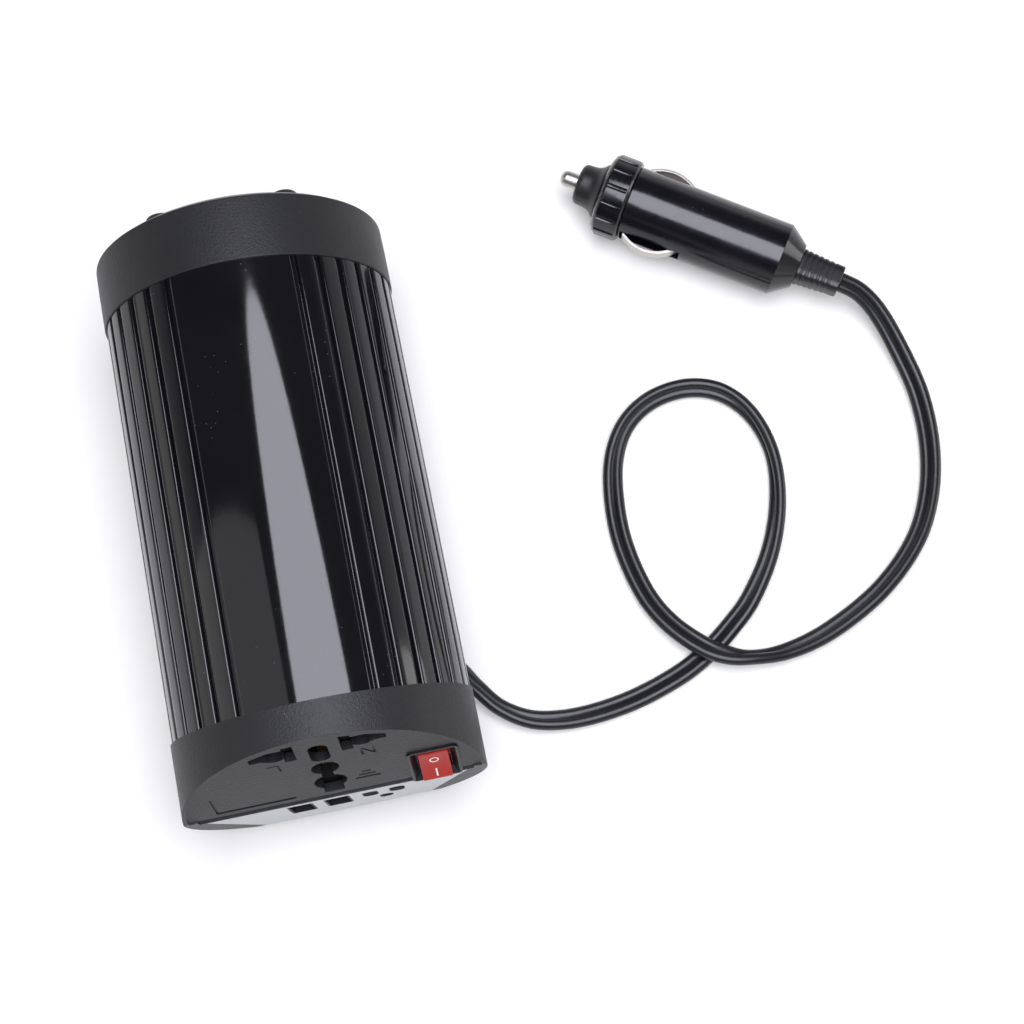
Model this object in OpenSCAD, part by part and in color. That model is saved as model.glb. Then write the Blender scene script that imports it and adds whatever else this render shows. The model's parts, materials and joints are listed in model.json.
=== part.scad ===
// Can-shaped car power inverter with a corded 12 volt plug, lying on its side.
// Millimetres. +Z is up, z = 0 is the table, the can's axis runs along Y.
// The socket end points to -Y, the vented standing end to +Y.
// Inside the "can" modules: local z runs along the can toward the sockets,
// local y is up, local x is the same as the part's X.

/* [Body] */
// Outside diameter of both end caps
cap_d = 70; // [60:1:80]
// Outside diameter of the ribbed aluminium tube
tube_d = 69.2; // [60:0.1:80]
// Inside diameter of the tube
tube_bore_d = 63; // [56:0.5:70]
// Length of tube seen between the two caps
tube_len = 100.6; // [60:0.1:160]
// Height of the base cap from the tube to its rim
base_h = 15.4; // [10:0.1:30]
// How far the vented end plate stands out of the base cap
end_plate_proud = 1.1; // [0.5:0.1:3]
// Height of the rubber feet on the end plate
foot_h = 1.5; // [0.5:0.1:4]

/* [Tube grooves] */
// Half angle of the plain panel before the first groove, in degrees
panel_half = 25; // [10:1:60]
// Angle from one groove to the next, in degrees
groove_step = 9.8; // [5:0.1:20]
// Grooves on each side
grooves = 14; // [4:1:16]
// Width of a groove at the surface
groove_w = 1.9; // [0.5:0.1:4]
// Width of a groove at its floor
groove_floor_w = 1.1; // [0.5:0.1:4]
// Depth of a groove
groove_depth = 1.2; // [0.5:0.1:2]

/* [Socket end] */
// Slope of the socket face away from square, in degrees
face_slope = 17.2; // [5:0.1:30]
// Socket cap length from the tube to the face plane, on the axis
face_out = 18.2; // [12:0.1:30]
// Slope of the label face, in degrees
label_slope = 2.4; // [0:0.1:10]
// Wall of the moulded caps
cap_wall = 2; // [1.5:0.1:4]

/* [Socket holes] */
// Width of one flat blade slot
blade_w = 2.5; // [1.6:0.1:4]
// Length of one flat blade slot
blade_h = 7.8; // [6:0.1:10]
// Half of the distance between the two flat blade slots
blade_half = 6.2; // [5:0.1:8]
// Diameter of the round pin holes
pin_hole_d = 5; // [4:0.1:6]
// Half of the distance between the two round pin holes
pin_half = 9.5; // [8:0.1:11]

/* [Rocker switch] */
// Turn of the rocker at the OFF position, in degrees
rocker_turn = 8; // [4:1:10]
// Width of the red rocker
rocker_w = 6.8; // [5:0.1:8]
// Length of the red rocker
rocker_len = 11.5; // [10:0.1:13]

/* [Cord] */
// Width of the twin lead
cord_w = 5.4; // [4:0.1:8]
// Thickness of the twin lead
cord_t = 3; // [2:0.1:5]

/* [Plug] */
// Outside diameter of the screw ring
ring_d = 21.7; // [18:0.1:24]
// Length of the screw ring
ring_len = 7.8; // [5:0.1:12]
// Outside diameter of the plug barrel
barrel_d = 19.4; // [16:0.1:21]
// Length of the straight part of the barrel
barrel_len = 42.2; // [30:0.1:60]
// Diameter of the centre pin
tip_d = 4.2; // [3:0.1:6]

/* [Hidden] */
axis_h = cap_d / 2;
cap_r = cap_d / 2;
tube_r = tube_d / 2;
bore_r = tube_bore_d / 2;
cap_in_r = cap_r - cap_wall;
length_all = foot_h + end_plate_proud + base_h + tube_len + 19.2;
base_tip = -length_all / 2;
plate_face = base_tip + foot_h;
rim_z = plate_face + end_plate_proud;
tube_lo = rim_z + base_h;
tube_hi = tube_lo + tube_len;
face_z = tube_hi + face_out;
ridge_y = 1;
rim_lip = 0.5;
step_lo = -0.4;
step_hi = 2.5;
ridge_z = face_z - ridge_y * tan(face_slope);
chord_y = -26.8;
label_top = -0.9;
spigot_r = bore_r - 0.1;
spigot_in = 6;
spigot_wall = 1.8;
board_y = -8.8;
board_t = 1.6;
board_top = board_y + board_t;
fan_z = rim_z + 2.2;
feet_r = 29;
switch_x = 23.5;
switch_v = 8.6;
pivot_in = 2.4;
switch_w = 10.4;
switch_h = 14.8;
hole_shift = -0.6;
plug_at = [101.3, 71.3, ring_d / 2];
plug_turn = 146;
nose_face = ring_len + 0.2;
tip_reach = 19.6;
gap = 0.3;
fine = 96;

// Cord route: the middle of the lead, from the grommet to the plug's boot.
// Each point: x, y, z, and the roll of the flat lead in degrees.
route = [
  [31.7, -39.5, 8, 35],
  [33.5, -41.9, 6.4, 40],
  [36.5, -46.2, 4.5, 50],
  [41, -51.7, 3.4, 50],
  [47.7, -56.0, 2.9, 35],
  [56, -57.8, 2.4, 20],
  [65.5, -57.7, 1.9, 8],
  [76, -56, 1.6, 0],
  [87.2, -52.5, 1.6, 0],
  [95, -48.6, 1.6, 0],
  [102.5, -43.2, 1.9, 10],
  [109.3, -37, 2.3, 25],
  [117, -26, 2.7, 45],
  [121.9, -13.5, 2.9, 62],
  [123.4, -1, 2.9, 80],
  [120.6, 10, 2.8, 72],
  [114.4, 17.6, 2.5, 50],
  [105.6, 20.7, 2.3, 42],
  [95.7, 19.3, 2.2, 40],
  [87.7, 13.9, 2.1, 35],
  [82.6, 4.8, 1.8, 20],
  [80.4, -7.6, 1.6, 0],
  [80.6, -19, 1.8, 0],
  [83.1, -30.9, 2.6, 0],
  [87.2, -39.4, 3.8, 0],
  [93.2, -46.4, 5, 0],
  [99, -50.3, 4.9, 25],
  [106, -52.3, 4, 60],
  [115.5, -52.3, 2.7, 45],
  [127.4, -49.2, 2.3, 30],
  [142, -41.8, 2.6, 30],
  [153.6, -31.6, 2.6, 30],
  [160.4, -20.5, 2.4, 20],
  [164.2, -7.5, 2.4, 15],
  [164.9, 6.5, 2.9, 15],
  [162.4, 19.2, 4.6, 12],
  [158.8, 29.2, 7.4, 6],
  [154.8, 35, 9.6, 0],
  [150.1, 38.4, 10.85, 0]
];

// ---------- placement helpers ----------

// The can: local z along the can toward the sockets, local y up.
module in_can() {
  translate([0, 0, axis_h]) rotate([90, 0, 0]) children();
}

// The sloping socket face: local z out of the face, local y up the slope.
module on_face() {
  translate([0, 0, face_z]) rotate([-face_slope, 0, 0]) children();
}

// The label face below the ridge: local z out of the face.
module on_label() {
  translate([0, ridge_y, ridge_z]) rotate([-label_slope, 0, 0])
    translate([0, -ridge_y, 0]) children();
}

// The plug: local z toward its tip, z = 0 at the back of the screw ring.
module in_plug() {
  translate(plug_at) rotate([0, 0, plug_turn]) rotate([0, 90, 0]) children();
}

module disc(r, h, z) {
  translate([0, 0, z]) cylinder(r = r, h = h, $fn = fine);
}

module ring(r_out, r_in, h, z) {
  translate([0, 0, z]) difference() {
    cylinder(r = r_out, h = h, $fn = fine);
    translate([0, 0, -1]) cylinder(r = r_in, h = h + 2, $fn = fine);
  }
}

module slab(x, y, z, w, d, h) {
  translate([x - w / 2, y - d / 2, z]) cube([w, d, h]);
}

module round_slot(w, h, r) {
  square([w - 2 * r, h], center = true);
  square([w, h - 2 * r], center = true);
  for (sx = [-1, 1], sy = [-1, 1])
    translate([sx * (w / 2 - r), sy * (h / 2 - r)]) circle(r = r, $fn = 32);
}

// ---------- tube ----------

module groove_shape() {
  polygon([
    [-groove_w / 2, tube_r + 0.5],
    [-groove_w / 2, tube_r - 0.1],
    [-groove_floor_w / 2, tube_r - 0.5],
    [-groove_floor_w / 2, tube_r - groove_depth],
    [groove_floor_w / 2, tube_r - groove_depth],
    [groove_floor_w / 2, tube_r - 0.5],
    [groove_w / 2, tube_r - 0.1],
    [groove_w / 2, tube_r + 0.5]
  ]);
}

module tube_section() {
  difference() {
    circle(r = tube_r, $fn = 180);
    circle(r = bore_r, $fn = 180);
    for (side = [-1, 1], i = [0 : grooves - 1])
      rotate(-side * (panel_half + i * groove_step)) groove_shape();
  }
  // Rails that hold the circuit board
  for (side = [-1, 1], rail = [-1, 1])
    translate([side * 29.3, board_y + board_t / 2 + rail * (board_t / 2 + 0.9)])
      square([3.6, 1.6], center = true);
}

module tube() {
  color([0.05, 0.05, 0.06]) difference() {
    in_can() difference() {
      translate([0, 0, tube_lo]) linear_extrude(tube_len) tube_section();
      // The rails stop short of the caps' spigots
      disc(bore_r - 0.01, spigot_in + 1, tube_lo - 0.5);
      disc(bore_r - 0.01, spigot_in + 1, tube_hi - spigot_in - 0.5);
    }
    // Hole for the cord's grommet
    at_grommet() cylinder(r = 4.6, h = 50, $fn = 48);
  }
}

// ---------- base end ----------

module base_cap() {
  color([0.13, 0.13, 0.14]) in_can() {
    difference() {
      translate([0, 0, rim_z]) rotate_extrude($fn = 144) polygon([
        [0, 1.2], [33.7, 1.2], [33.7, 0], [34, 0], [34.7, 0.4], [cap_r, 1.2],
        [cap_r, base_h], [spigot_r - spigot_wall, base_h],
        [spigot_r - spigot_wall, base_h - 2], [cap_in_r, base_h - 4],
        [cap_in_r, 3.2], [0, 3.2]
      ]);
      // Air opening in front of the fan
      disc(19.2, 4, rim_z);
      // Screw holes for the fan
      for (a = [45, 135, 225, 315])
        rotate(a) translate([22.6, 0, rim_z - 1]) cylinder(r = 1.5, h = 6, $fn = 24);
    }
    ring(spigot_r, spigot_r - spigot_wall, spigot_in + 0.4, tube_lo - 0.4);
  }
}

module end_plate() {
  color([0.34, 0.34, 0.36]) in_can() {
    difference() {
      translate([0, 0, plate_face]) rotate_extrude($fn = 144) polygon([
        [0, 0], [32.9, 0], [33.5, 0.5], [33.5, 2.2], [0, 2.2]
      ]);
      // Rings of air slots
      for (r = [6.5, 10.5, 14.5, 18.2]) slot_ring(r);
      for (a = [45, 135, 225, 315])
        rotate(a) translate([22.6, 0, plate_face]) screw_seat();
      // Shallow seats for the feet
      for (a = [30 : 60 : 330])
        rotate(a) translate([0, feet_r, plate_face - 1]) cylinder(r = 3.5, h = 1.5, $fn = 40);
    }
  }
}

module slot_ring(r) {
  translate([0, 0, plate_face - 1]) difference() {
    cylinder(r = r + 1.1, h = 5, $fn = 72);
    translate([0, 0, -1]) cylinder(r = r - 1.1, h = 7, $fn = 72);
    for (a = [0, 60, 120])
      rotate(a) slab(0, 0, -1, 2 * (r + 2), 2.2, 7);
  }
}

module screw_seat() {
  translate([0, 0, -0.01]) cylinder(r1 = 2.8, r2 = 1.5, h = 1.3, $fn = 32);
  cylinder(r = 1.5, h = 4, $fn = 24);
}

module feet() {
  color([0.1, 0.1, 0.1]) in_can()
    for (a = [30 : 60 : 330])
      rotate(a) translate([0, feet_r, base_tip]) rotate_extrude($fn = 40) polygon([
        [0, 0], [2.7, 0], [3.2, 0.5], [3.4, foot_h], [3.4, foot_h + 0.5], [0, foot_h + 0.5]
      ]);
}

module base_screws() {
  color([0.3, 0.3, 0.31]) in_can()
    for (a = [45, 135, 225, 315])
      rotate(a) translate([22.6, 0, plate_face + 0.2]) difference() {
        union() {
          cylinder(r1 = 2.5, r2 = 1.2, h = 1.1, $fn = 32);
          cylinder(r = 1.2, h = 12, $fn = 24);
        }
        slab(0, 0, -0.1, 3, 0.6, 0.7);
        slab(0, 0, -0.1, 0.6, 3, 0.7);
      }
}

module fan_frame() {
  color([0.16, 0.16, 0.17]) in_can() translate([0, 0, fan_z + 1.2]) {
    difference() {
      linear_extrude(10) round_slot(40, 40, 3);
      translate([0, 0, -1]) cylinder(r = 18.8, h = 12, $fn = 96);
      for (a = [45, 135, 225, 315])
        rotate(a) translate([22.6, 0, -1]) cylinder(r = 1.4, h = 12, $fn = 24);
    }
    // Motor seat on three arms, on the inner side
    translate([0, 0, 8.4]) cylinder(r = 8, h = 1.6, $fn = 64);
    for (a = [0, 120, 240])
      rotate(a) slab(0, 13, 8.6, 2, 13, 1.4);
    // Fixed spindle
    translate([0, 0, 2]) cylinder(r = 1, h = 7, $fn = 32);
  }
}

module fan_rotor() {
  color([0.2, 0.2, 0.21]) in_can() translate([0, 0, fan_z + 1.2]) {
    difference() {
      translate([0, 0, 0.8]) cylinder(r = 8.6, h = 7, $fn = 64);
      translate([0, 0, 1.8]) cylinder(r = 7.6, h = 7, $fn = 64);
    }
    // Bearing boss that runs on the spindle
    difference() {
      translate([0, 0, 1.4]) cylinder(r = 2, h = 6, $fn = 32);
      translate([0, 0, 1.9]) cylinder(r = 1.05, h = 6, $fn = 32);
    }
    for (a = [0 : 360 / 7 : 359])
      rotate(a) translate([12.9, 0, 4.3]) rotate([38, 0, 0])
        cube([9.2, 0.9, 7.6], center = true);
  }
}

// ---------- socket end ----------

// Everything on the can's side of the two end faces.
module end_limit(above) {
  on_face() translate([-60, -80, above - 100]) cube([120, 160, 100]);
}

module label_limit(above) {
  on_label() translate([-60, -80, above - 100]) cube([120, 160, 100]);
}

module chin_limit(above) {
  translate([0, chord_y - above, ridge_z + 1.1]) rotate([45, 0, 0])
    translate([-60, -80, -100]) cube([120, 160, 100]);
}

module end_block(r, z, above) {
  intersection() {
    disc(r, 40, z);
    end_limit(above + rim_lip);
    label_limit(above);
    chin_limit(above);
  }
}

module socket_cap() {
  color([0.13, 0.13, 0.14]) in_can() {
    difference() {
      end_block(cap_r, tube_hi, 0);
      // Hollow behind the two faces
      end_block(cap_in_r, tube_hi + 2, -2.2 - rim_lip);
      disc(spigot_r - spigot_wall, 4, tube_hi - 1);
      // Faces set inside the rim
      intersection() {
        disc(33.9, 40, tube_hi + 3);
        translate([-40, step_hi - 0.1, tube_hi]) cube([80, 40, 40]);
        on_face() translate([-60, -80, 0]) cube([120, 160, 20]);
      }
      // Step between the socket face and the label
      translate([-31.8, step_lo, ridge_z - 1]) cube([63.6, step_hi - step_lo, 4]);
      label_seat(0.25);
      on_face() {
        plug_holes(3);
        face_marks();
        translate([switch_x, switch_v, -4]) linear_extrude(8)
          square([switch_w + 0.2, switch_h + 0.2], center = true);
      }
      on_label() translate([0, 0, -4]) linear_extrude(8) port_shapes(0.3);
    }
    ring(spigot_r, spigot_r - spigot_wall, spigot_in + 0.4, tube_hi - spigot_in);
  }
}

module label_outline(grow) {
  polygon([
    [-30.2 - grow, label_top + grow], [30.2 + grow, label_top + grow],
    [20.4 + grow, chord_y + 0.2 - grow], [-20.4 - grow, chord_y + 0.2 - grow]
  ]);
}

module label_seat(grow) {
  on_label() translate([0, 0, -0.5]) linear_extrude(3) label_outline(grow);
}

// The two data ports and the three indicator windows.
module port_shapes(grow) {
  for (x = [-9.3, -0.7])
    translate([x, -9.4]) square([6 + 2 * grow, 13.2 + 2 * grow], center = true);
  window_shapes(grow);
}

module window_shapes(grow) {
  for (x = [6.9, 13.2])
    translate([x, -8.4]) round_slot(3.6 + 2 * grow, 8 + 2 * grow, 1.7);
  translate([10.1, -16.4]) round_slot(3.2 + 2 * grow, 5.4 + 2 * grow, 1.5);
}

// Holes for many kinds of plug: flat blades, round pins and square pins.
module plug_holes(depth) {
  translate([0, hole_shift, -depth]) {
    intersection() {
      linear_extrude(depth + 2) for (side = [-1, 1]) {
        translate([side * blade_half, 29.9]) square([blade_w, blade_h], center = true);
        translate([side * pin_half, 29.6]) circle(r = pin_hole_d / 2, $fn = 48);
        translate([side * 9, 30.1]) square([6, 4.2], center = true);
        translate([side * 11.8, 30.1]) square([6.2, 3.4], center = true);
      }
      translate([0, -hole_shift, -5]) cylinder(r = 33.3, h = 20, $fn = 144);
    }
    linear_extrude(depth + 2) {
      translate([0, 27]) round_slot(4.3, 8.4, 1.9);
      translate([0, 18.6]) circle(r = 3.1, $fn = 48);
      translate([0, 10.6]) circle(r = 3.7, $fn = 48);
      translate([0, 14.6]) square([2.6, 8], center = true);
      translate([0.2, 8]) square([4.5, 6.4], center = true);
    }
  }
}

// Sunk marks on the socket face: line, neutral, earth bars and a name frame.
module face_marks() {
  translate([0, 0, -0.35]) linear_extrude(2) {
    translate([-10.5, 24.3]) square([2.6, 0.6], center = true);
    translate([-9.3, 22.8]) square([0.45, 3.4], center = true);
    for (side = [-1, 1])
      translate([10.2 + side * 1.3, 22.9]) square([0.45, 3.6], center = true);
    translate([10.2, 22.9]) rotate(35) square([0.45, 4.2], center = true);
    translate([8.3, 11.8]) square([2, 0.7], center = true);
    translate([8.3, 10.2]) square([3.8, 0.7], center = true);
    translate([8.3, 8.6]) square([5.8, 0.8], center = true);
    translate([-26.6, 8.8]) square([0.6, 8.4], center = true);
    translate([-17.8, 4.8]) square([18.2, 1], center = true);
  }
}

module socket_core() {
  color([0.2, 0.2, 0.21]) in_can() difference() {
    intersection() {
      on_face() translate([0, 0, -16.5]) linear_extrude(13.5) {
        translate([0, 16]) square([22, 27], center = true);
        translate([0, 27]) square([31, 15], center = true);
      }
      // Fits inside the cap and its spigot
      union() {
        disc(cap_in_r - 0.4, 20, tube_hi + 2.1);
        disc(spigot_r - spigot_wall - 0.3, 20, tube_hi - 16);
      }
    }
    on_face() translate([0, 0, -15]) {
      // Chamber for the earth pin, whichever way up the plug goes in
      translate([-3.9, 6, 0]) cube([7.8, 27, 20]);
      // Chambers for the line and neutral pins
      for (side = [-1, 1])
        translate([side * 9.9 - 5, 24.6, 0]) cube([10, 8.6, 20]);
    }
  }
}

module pin_clip(w, h, t) {
  difference() {
    cube([w, h, 9], center = true);
    translate([0, 0, 1]) cube([w - 2 * t, h - 2 * t, 9.5], center = true);
  }
}

module live_contact() {
  color([0.8, 0.62, 0.25]) in_can() on_face() translate([-9.4, 28.7, -10.5]) pin_clip(3.4, 2.4, 0.35);
}

module neutral_contact() {
  color([0.8, 0.62, 0.25]) in_can() on_face() translate([9.4, 28.7, -10.5]) pin_clip(3.4, 2.4, 0.35);
}

module earth_contact() {
  color([0.8, 0.62, 0.25]) in_can() on_face() translate([0.2, 8.8, -10.5]) pin_clip(4, 5.2, 0.4);
}

module label_plate() {
  color([0.72, 0.73, 0.74]) in_can() on_label() translate([0, 0, -0.45])
    linear_extrude(0.5) difference() {
      label_outline(0);
      port_shapes(0);
    }
}

module usb_shells() {
  color([0.75, 0.75, 0.76]) in_can() on_label()
    for (x = [-9.3, -0.7])
      translate([x, -9.4, -13.9]) linear_extrude(13.9) difference() {
        square([5.7, 12.9], center = true);
        square([5.1, 12.3], center = true);
      }
}

module usb_tongues() {
  color([0.12, 0.12, 0.13]) in_can() on_label()
    for (x = [-9.3, -0.7]) {
      translate([x + 1.2, -9.4, -9]) cube([1.8, 11, 15], center = true);
      translate([x, -9.4, -15.4]) cube([5, 12.2, 2.4], center = true);
    }
}

module indicators() {
  color([0.1, 0.1, 0.12]) in_can() on_label() translate([0, 0, -3])
    linear_extrude(3) window_shapes(-0.05);
}

module leds() {
  color([0.9, 0.9, 0.85]) in_can() on_label()
    for (p = [[6.9, -8.4], [13.2, -8.4], [10.1, -16.4]])
      translate([p[0], p[1], -14.2]) {
        cylinder(r = 1.5, h = 6.5, $fn = 24);
        translate([0, 0, 6.5]) sphere(r = 1.5, $fn = 24);
      }
}

module usb_board() {
  color([0.08, 0.3, 0.16]) in_can() on_label() translate([1, -11.2, -17.4]) difference() {
    cube([30, 19, 1.2], center = true);
    for (x = [-13.4, 13.4]) translate([x, 0, 0]) cylinder(r = 1.1, h = 4, center = true, $fn = 24);
  }
}

// ---------- rocker switch ----------

// A block with sloping sides that widens upward, for the well's mouth.
module flared_block(w, d, flare, h) {
  intersection() {
    rotate([90, 0, 0]) translate([0, 0, -d]) linear_extrude(2 * d) polygon([
      [-w / 2, 0], [w / 2, 0], [w / 2 + flare, h], [-w / 2 - flare, h]]);
    rotate([90, 0, 90]) translate([0, 0, -w]) linear_extrude(2 * w) polygon([
      [-d / 2, 0], [d / 2, 0], [d / 2 + flare, h], [-d / 2 - flare, h]]);
  }
}

module switch_housing() {
  color([0.11, 0.12, 0.13]) in_can() on_face() translate([switch_x, switch_v, 0]) {
    difference() {
      union() {
        // Frame lying on the face
        linear_extrude(0.5) round_slot(11.6, 16, 1.2);
        translate([0, 0, -11]) linear_extrude(11.2) square([switch_w, switch_h], center = true);
      }
      // Well for the rocker
      translate([0, 0, -5.4]) linear_extrude(8)
        square([rocker_w + 2 * gap, rocker_len + 2 * gap], center = true);
      // Sloped mouth of the well
      translate([0, 0, -1.2]) flared_block(rocker_w + 1, rocker_len + 1, 1.35, 1.8);
      // Bearings for the rocker's axle
      translate([0, 0, -pivot_in]) rotate([0, 90, 0])
        cylinder(r = 1.05, h = 8.2, center = true, $fn = 32);
    }
  }
}

module at_rocker() {
  in_can() on_face() translate([switch_x, switch_v, -pivot_in])
    rotate([-rocker_turn, 0, 0]) children();
}

module rocker_side() {
  end = rocker_len / 2;
  polygon([
    [-end + 0.5, 0.4], [-end, 3.6], [-3, 3.3], [0, 3.15], [3, 3.3], [end, 3.6],
    [end - 0.5, 0.4], [1.6, -1.5], [-1.6, -1.5]
  ]);
}

module rocker() {
  color([0.78, 0.12, 0.09]) {
    at_rocker() difference() {
      rotate([90, 0, 90]) translate([0, 0, -rocker_w / 2]) linear_extrude(rocker_w) rocker_side();
      rocker_mark_shapes(0);
    }
    at_rocker() rotate([0, 90, 0]) cylinder(r = 1, h = 7.9, center = true, $fn = 32);
  }
}

// A ring for off at the top end, a bar for on at the lower end.
module rocker_mark_shapes(clear) {
  translate([0, 2.2, 2.95]) difference() {
    cylinder(r = 1.1 - clear, h = 2, $fn = 32);
    translate([0, 0, -1]) cylinder(r = 0.75 + clear, h = 4, $fn = 32);
  }
  slab(0, -3.1, 2.95, 0.4 - 2 * clear, 3 - 2 * clear, 2);
}

module rocker_marks() {
  color([0.93, 0.92, 0.9]) at_rocker() intersection() {
    rocker_mark_shapes(0.02);
    rotate([90, 0, 90]) translate([0, 0, -2]) linear_extrude(4) rocker_side();
  }
}

module switch_tabs() {
  color([0.78, 0.78, 0.76]) in_can() on_face() translate([switch_x, switch_v, 0])
    for (v = [-4.2, 0.5, 5])
      slab(0, v, -17, 4.6, 0.8, 6);
}

// ---------- electronics ----------

module main_board() {
  color([0.08, 0.32, 0.17]) in_can() difference() {
    translate([-29.6, board_y, tube_lo + 9]) cube([59.2, board_t, 82]);
    for (x = [-24, 24], z = [tube_lo + 14, tube_lo + 86])
      translate([x, board_y - 1, z]) rotate([-90, 0, 0]) cylinder(r = 1.6, h = 4, $fn = 24);
  }
}

module on_board(x, z) {
  in_can() translate([x, board_top + 0.05, z]) rotate([-90, 0, 0]) children();
}

module transformer_core() {
  color([0.25, 0.25, 0.27]) on_board(2, 4) difference() {
    translate([-15, -14, 2.5]) cube([30, 28, 20]);
    translate([-10.5, -15, 7.5]) cube([6, 30, 10]);
    translate([4.5, -15, 7.5]) cube([6, 30, 10]);
  }
}

module transformer_coil() {
  color([0.75, 0.6, 0.2]) on_board(2, 4) difference() {
    translate([-10, -18, 0]) cube([20, 36, 25]);
    translate([-15.2, -14.2, 2.3]) cube([11, 28.4, 5.4]);
    translate([4.2, -14.2, 2.3]) cube([11, 28.4, 5.4]);
    translate([-15.2, -14.2, 17.3]) cube([30.4, 28.4, 5.4]);
    translate([-15.2, -14.2, 2.3]) cube([30.4, 28.4, 5.4]);
    translate([-4.7, -14.2, 2]) cube([9.4, 28.4, 21]);
  }
}

module can_capacitor(r, h) {
  cylinder(r = r, h = 0.8, $fn = 48);
  translate([0, 0, 0.8]) cylinder(r = r - 0.4, h = 0.8, $fn = 48);
  translate([0, 0, 1.6]) cylinder(r = r, h = h - 1.6, $fn = 48);
}

module capacitors() {
  color([0.15, 0.2, 0.4]) {
    on_board(-6, -29) can_capacitor(6.3, 22);
    on_board(8.5, -29) can_capacitor(6.3, 22);
    on_board(-14, 33) can_capacitor(5, 16);
  }
}

module choke() {
  color([0.7, 0.42, 0.2]) on_board(8, 33) translate([0, 0, 4.5])
    rotate_extrude($fn = 64) translate([7, 0]) circle(r = 3.6, $fn = 24);
}

module heat_bar() {
  color([0.7, 0.7, 0.72]) in_can() for (side = [-1, 1])
    difference() {
      translate([side * 24.6 - 1.5, board_top + 0.3, -26]) cube([3, 18, 52]);
      for (z = [-16, 0, 16])
        translate([side * 24.6, 6, z]) rotate([0, 90, 0]) cylinder(r = 1.5, h = 6, center = true, $fn = 24);
    }
}

module transistors() {
  color([0.1, 0.1, 0.1]) in_can() for (side = [-1, 1], z = [-16, 0, 16])
    translate([side * 20.7, 0, z]) {
      slab(0, 1.8, -5, 4.4, 9, 10);
      translate([side * 1.5, 0, 0]) slab(0, 4.6, -5, 1.3, 14, 10);
    }
}

module cap_screws() {
  color([0.6, 0.6, 0.62]) in_can()
    for (side = [-1, 1])
      translate([side * 18, -19, tube_hi - 5]) {
        cylinder(r = 1.4, h = 12, $fn = 24);
        translate([0, 0, 12]) cylinder(r = 2.6, h = 2, $fn = 32);
      }
}

// ---------- cord ----------

grommet_y = -34.4;
grommet_turn = 130;
sleeve_out = 36.2;

// Square to the tube's skin at the grommet, local z outward.
module at_grommet() {
  translate([0, grommet_y, axis_h]) rotate([0, grommet_turn, 0]) children();
}

sleeve_at = [sleeve_out * sin(grommet_turn), grommet_y, axis_h + sleeve_out * cos(grommet_turn)];
sleeve_way = spot(route[0]) - sleeve_at;
sleeve_len = norm(sleeve_way);
sleeve_turn = atan2(sleeve_way[1], sleeve_way[0]);
sleeve_dip = acos(sleeve_way[2] / sleeve_len);

module grommet() {
  color([0.07, 0.07, 0.07]) {
    at_grommet() {
      translate([0, 0, bore_r - 2.4]) cylinder(r = 4.5, h = 6.2, $fn = 48);
      translate([0, 0, bore_r - 2.4]) cylinder(r = 5.6, h = 1.2, $fn = 48);
    }
    // Swept sleeve that carries the lead off toward the socket end
    translate(sleeve_at) {
      sphere(r = 3.8, $fn = 40);
      rotate([0, 0, sleeve_turn]) rotate([0, sleeve_dip, 0])
        cylinder(r1 = 3.75, r2 = 3.1, h = sleeve_len, $fn = 40);
    }
  }
}

// Outline of the flat twin lead, wide way first.
lead_outline = [
  [1, 0], [0.8, 0.8], [0.35, 1], [0, 0.62], [-0.35, 1], [-0.8, 0.8],
  [-1, 0], [-0.8, -0.8], [-0.35, -1], [0, -0.62], [0.35, -1], [0.8, -0.8]
];

function unit(v) = v / norm(v);
function spot(p) = [p[0], p[1], p[2]];
function heading(path, i) =
  unit(spot(path[min(i + 1, len(path) - 1)]) - spot(path[max(i - 1, 0)]));
function level(t) = unit(cross(t, [0, 0, 1]));
function wide_way(t, roll) = level(t) * cos(roll) + cross(level(t), t) * sin(roll);
function lead_ring(path, i) =
  let (t = heading(path, i), w = wide_way(t, path[i][3]), n = cross(w, t))
  [for (q = lead_outline) spot(path[i]) + w * q[0] * cord_w / 2 + n * q[1] * cord_t / 2];

module sweep_lead(path) {
  m = len(lead_outline);
  last = (len(path) - 1) * m;
  polyhedron(
    points = [for (i = [0 : len(path) - 1]) each lead_ring(path, i)],
    faces = concat(
      [[for (k = [0 : m - 1]) k]],
      [for (i = [0 : len(path) - 2], k = [0 : m - 1])
        [i * m + k, (i + 1) * m + k, (i + 1) * m + (k + 1) % m, i * m + (k + 1) % m]],
      [[for (k = [m - 1 : -1 : 0]) last + k]]
    )
  );
}

module cord() {
  color([0.04, 0.04, 0.045]) sweep_lead(route);
}

// ---------- plug ----------

module plug_barrel() {
  color([0.04, 0.04, 0.06]) in_plug() difference() {
    rotate_extrude($fn = fine) polygon([
      [0, 5], [7.6, 5], [8, 4.6], [8, 0], [barrel_d / 2 - 0.2, 0], [barrel_d / 2, -0.3],
      [barrel_d / 2 - 0.2, -barrel_len], [5.8, -barrel_len - 5.1], [0, -barrel_len - 5.1]
    ]);
    // Fuse chamber and the lead's way in
    translate([0, 0, -34]) cylinder(r = 3.6, h = 45, $fn = 48);
    translate([0, 0, -50]) cylinder(r = 3, h = 20, $fn = 48);
    // Pockets for the two side contacts
    for (side = [-1, 1]) side_pocket(side);
  }
}

module side_pocket(side) {
  translate([-2.1, side > 0 ? 4.6 : -11.6, -17.2]) cube([4.2, 7, 16.6]);
}

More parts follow.
